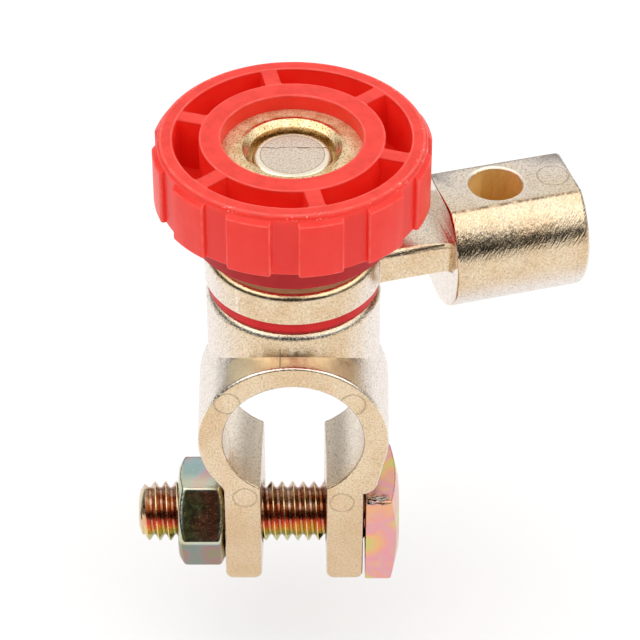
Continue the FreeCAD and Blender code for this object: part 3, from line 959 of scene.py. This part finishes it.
def nutZinc():
    finish, colour = yellowZinc("nutZinc", nut["stops"], nut["patch"])[:2]
    values = dict(zip("xyz", finish.parts()))
    shifted = finish.math("ADD", values["x"], finish.spots(*nut["frontShift"]))
    brown = finish.blend(finish.spread(shifted, *nut["frontEnds"], smooth=True), nut["frontLeft"], nut["frontRight"])
    front = finish.where(values, nut["frontPlace"])
    colour = finish.blend(finish.times(front, nut["frontStrength"]), colour, brown)
    colour = finish.layWearAndLight(colour, values, nutHighlights)[0]
    # the facets below turn away from the light
    below = finish.spread(values["z"], *nut["below"])
    finish.use(Base_Color=finish.blend(below, colour, nut["belowTone"], "MULTIPLY"))
    return finish.material


boltAxis = {
    "z": -18.0 * mm,
    "radius": 3.97 * mm,
    "pitch": 25.4 / 18 * mm,
    "depth": 0.80 * mm,
    "tip": -20.6 * mm,
    "seat": 9.35 * mm,
    "intoHead": 0.5 * mm,
    "tipRadius": 2.1 * mm,
    "tipLength": 1.7 * mm,
    "phase": 0.05,
    "stepsPerTurn": 48,
}
boltFinish = {
    "wander": (1.8 * mm, 2.0, 0.5, 0.3, 0.7, -0.22, 0.22),
    # colours from the underside of the thread to its top
    "stops": [
        (0.15, (0.34, 0.34, 0.12)),
        (0.32, (0.46, 0.44, 0.10)),
        (0.44, (0.72, 0.52, 0.12)),
        (0.54, (0.80, 0.34, 0.14)),
        (0.62, (0.78, 0.24, 0.17)),
        (0.78, (0.44, 0.15, 0.06)),
        (0.92, (0.42, 0.17, 0.07)),
        (0.99, (0.58, 0.44, 0.34)),
    ],
    "grainSize": 0.22 * mm,
    "grainDepth": 0.005 * mm,
    "roughness": (0.3, 0.7, 0.14, 0.30),
}
boltWear = {
    "roots": {"places": [{"crest": (0.0, 0.35, 1.0, 0.0)}], "strength": 0.35, "tone": (0.20, 0.05, 0.02)},
    "crests": {"places": [{"crest": (0.93, 1.0)}], "strength": 0.7, "tone": (0.84, 0.68, 0.40)},
    "paleTip": {
        "places": [{"x": (-20.3 * mm, -19.0 * mm, 1.0, 0.0)}],
        "strength": 0.7,
        "tone": (0.80, 0.70, 0.46),
    },
}


def threadZinc():
    finish = Finish("threadZinc")
    finish.set(Metallic=1.0)
    x, y, z = finish.parts(finish.place(centre=(0, 0, boltAxis["z"])))
    away = finish.length(y, z)
    crest = finish.spread(away, boltAxis["radius"] - boltAxis["depth"], boltAxis["radius"])
    rise = finish.math("ADD", finish.math("DIVIDE", z, away), finish.spots(*boltFinish["wander"]))
    colour = finish.ramp(finish.spread(rise, -1.0, 1.0), boltFinish["stops"])
    colour = finish.layWearAndLight(colour, {"x": x, "crest": crest}, boltWear)[0]
    grain = finish.noise(boltFinish["grainSize"])
    finish.use(Base_Color=colour, Roughness=finish.spread(grain, *boltFinish["roughness"]),
               Normal=finish.bump(grain, boltFinish["grainDepth"]))
    return finish.material


finishes = {
    "cast": clampPlating(),
    "arm": armPlating(),
    "knob": knobPlastic(),
    "collar": shadedCollarPlastic(),
    "washer": washerPlastic(),
    "sleeve": sleevePlastic(),
    "core": corePlating(),
    "thread": threadZinc(),
    "head": headZinc(),
    "nut": nutZinc(),
}
print("finishes ready")


def dress(nodeName, finishName):
    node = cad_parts[nodeName]
    node.data.materials.clear()
    node.data.materials.append(finishes[finishName])


def addPiece(name, bm, body, finishName, replaced=None, sharp=35.0):
    mesh = bpy.data.meshes.new(name)
    bm.to_mesh(mesh)
    bm.free()
    mesh.shade_smooth()
    mesh.set_sharp_from_angle(angle=math.radians(sharp))
    piece = bpy.data.objects.new(name, mesh)
    scene.collection.objects.link(piece)
    mesh.materials.append(finishes[finishName])
    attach(piece, body)
    if replaced:
        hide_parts(replaced)
    return piece


edges = {
    "knob": {"width": 0.20 * mm, "segments": 3},
    "clamp": {"width": 0.14 * mm, "segments": 2},
    "arm": {"width": 0.15 * mm, "segments": 2},
    "angle": math.radians(42.0),
}
forging = {
    "cell": 0.14 * mm,
    "headPasses": 14,
    "nutPasses": 26,
}
merging = {
    "distance": 0.002 * mm,
    "flatAngle": math.radians(0.4),
}


def softenEdges(piece, width, segments):
    bevel = piece.modifiers.new("softEdges", "BEVEL")
    bevel.width = width
    bevel.segments = segments
    bevel.limit_method = "ANGLE"
    bevel.angle_limit = edges["angle"]
    bevel.harden_normals = True
    bevel.miter_outer = "MITER_ARC"


# an even mesh, smoothed, gives every edge a forged rounding
def roundForged(piece, passes):
    even = piece.modifiers.new("evenMesh", "REMESH")
    even.mode = "VOXEL"
    even.voxel_size = forging["cell"]
    even.use_smooth_shade = True
    ease = piece.modifiers.new("easedEdges", "SMOOTH")
    ease.factor = 0.5
    ease.iterations = passes


def mergedCopy(nodeName):
    bm = bmesh.new()
    bm.from_mesh(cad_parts[nodeName].data)
    bmesh.ops.remove_doubles(bm, verts=bm.verts, dist=merging["distance"])
    bmesh.ops.dissolve_limit(bm, angle_limit=merging["flatAngle"], verts=bm.verts, edges=bm.edges)
    return bm


def cutAcross(bm, point, direction, snap=0.0001 * mm, **clear):
    geometry = bm.verts[:] + bm.edges[:] + bm.faces[:]
    bmesh.ops.bisect_plane(bm, geom=geometry, dist=snap, plane_co=point, plane_no=direction, **clear)


def closeEnds(bm):
    rim = [edge for edge in bm.edges if edge.is_boundary]
    bmesh.ops.holes_fill(bm, edges=rim, sides=0)


# screw thread along +X, closed at both ends
def makeScrew(thread, start, end):
    crest = thread["radius"]
    root = crest - thread["depth"]
    pitch = thread["pitch"]
    first = start - (2.0 - thread["phase"]) * pitch
    outline = [(0.0, root), (0.10, root), (0.46, crest), (0.54, crest), (0.90, root), (1.0, root)]
    bm = bmesh.new()
    verts = [bm.verts.new((first + share * pitch, 0, radius)) for share, radius in outline]
    sides = [bm.edges.new(pair) for pair in zip(verts, verts[1:])]
    turns = math.ceil((end - first) / pitch) + 1
    steps = thread["stepsPerTurn"]
    bmesh.ops.spin(
        bm, geom=verts + sides, cent=(0, 0, 0), axis=(1, 0, 0), dvec=(pitch / steps, 0, 0),
        angle=2 * math.pi * turns, steps=steps * turns, use_merge=False)
    bmesh.ops.remove_doubles(bm, verts=bm.verts, dist=0.001 * mm)
    cutAcross(bm, (start, 0, 0), (1, 0, 0), clear_inner=True)
    cutAcross(bm, (end, 0, 0), (1, 0, 0), clear_outer=True)
    closeEnds(bm)
    return bm


studThread = {
    "low": 22.6 * mm,
    "high": 34.2 * mm,
    "radius": 5.0 * mm,
    "depth": 0.70 * mm,
    "pitch": 1.5 * mm,
    "phase": 0.0,
    "stepsPerTurn": 48,
}


def makeStudThread():
    bm = makeScrew(studThread, studThread["low"], studThread["high"])
    bmesh.ops.recalc_face_normals(bm, faces=bm.faces)
    upright = Matrix.Rotation(math.radians(-90.0), 3, "Y")
    bmesh.ops.rotate(bm, verts=bm.verts, cent=(0, 0, 0), matrix=upright)
    bmesh.ops.translate(bm, verts=bm.verts, vec=(0, studY, 0))
    return bm


# the casting without the stretch of stud that the thread takes
def makeClampCasting():
    bm = mergedCopy("clamp_body")
    for height in (studThread["low"], studThread["high"]):
        cutAcross(bm, (0, 0, height), (0, 0, 1))
    stretch = [face for face in bm.faces if studThread["low"] < face.calc_center_median().z < studThread["high"]]
    bmesh.ops.delete(bm, geom=stretch, context="FACES")
    closeEnds(bm)
    bmesh.ops.recalc_face_normals(bm, faces=bm.faces)
    return bm


armTop = {
    "z": 22.05 * mm,
    "near": 0.01 * mm,
    "ringBore": 10.0 * mm,    # edges nearer the stud stay sharp
    "reach": 18.6 * mm,       # the rounding ends short of the lug
    "rounding": 1.30 * mm,
    "segments": 6,
}


# the casting with its ring and bar rounded along the top
def makeArmCasting():
    bm = mergedCopy("cable_arm")
    rims = []
    for edge in bm.edges:
        ends = [vert.co for vert in edge.verts]
        if any(abs(end.z - armTop["z"]) > armTop["near"] for end in ends):
            continue
        middle = (ends[0] + ends[1]) / 2 - Vector((0, studY, 0))
        away = math.hypot(middle.x, middle.y)
        besideWall = any(abs(face.normal.z) < 0.5 for face in edge.link_faces)
        if besideWall and armTop["ringBore"] < away < armTop["reach"]:
            rims.append(edge)
    bmesh.ops.bevel(
        bm, geom=rims, offset=armTop["rounding"], segments=armTop["segments"], affect="EDGES", profile=0.5)
    return bm


# knob moulding with soft edges
knobPiece = addPiece("knobMoulding", mergedCopy("knob"), "knob_unit", "knob", "knob")
softenEdges(knobPiece, **edges["knob"])
print("knob ready")

# castings
clampPiece = addPiece("clampCasting", makeClampCasting(), "clamp", "cast", "clamp_body")
softenEdges(clampPiece, **edges["clamp"])
addPiece("studThread", makeStudThread(), "clamp", "core", sharp=40.0)
armPiece = addPiece("armCasting", makeArmCasting(), "arm", "arm", "cable_arm")
softenEdges(armPiece, **edges["arm"])
print("castings ready")

# washer, sleeve, collar and metal core
dress("lower_washer", "washer")
dress("insulating_sleeve", "sleeve")
dress("contact_collar", "collar")
dress("knob_insert", "core")
print("washer, sleeve, collar and core ready")


# the bolt's thread, rounded towards its tip
def makeBoltThread():
    bolt = boltAxis
    bm = makeScrew(bolt, bolt["tip"], bolt["seat"] + bolt["intoHead"])
    for vert in bm.verts:
        radius = math.hypot(vert.co.y, vert.co.z)
        share = min(max((vert.co.x - bolt["tip"]) / bolt["tipLength"], 0.0), 1.0)
        limit = bolt["tipRadius"] + (bolt["radius"] - bolt["tipRadius"]) * math.sqrt(1.0 - (1.0 - share) ** 2)
        if radius > limit:
            vert.co.y *= limit / radius
            vert.co.z *= limit / radius
    bmesh.ops.recalc_face_normals(bm, faces=bm.faces)
    bmesh.ops.translate(bm, verts=bm.verts, vec=(0, 0, bolt["z"]))
    return bm


# the bolt without its shank
def makeHead():
    bm = mergedCopy("clamp_bolt")
    hair = 0.001 * mm
    cutAcross(bm, (boltAxis["seat"] + hair, 0, 0), (1, 0, 0), snap=hair, clear_inner=True)
    closeEnds(bm)
    return bm


boltHead = addPiece("boltHead", makeHead(), "bolt", "head")
roundForged(boltHead, forging["headPasses"])
addPiece("boltShank", makeBoltThread(), "bolt", "thread", "clamp_bolt", sharp=40.0)
nutPiece = addPiece("hexNut", mergedCopy("clamp_nut"), "nut", "nut", "clamp_nut")
roundForged(nutPiece, forging["nutPasses"])
print("bolt and nut ready")
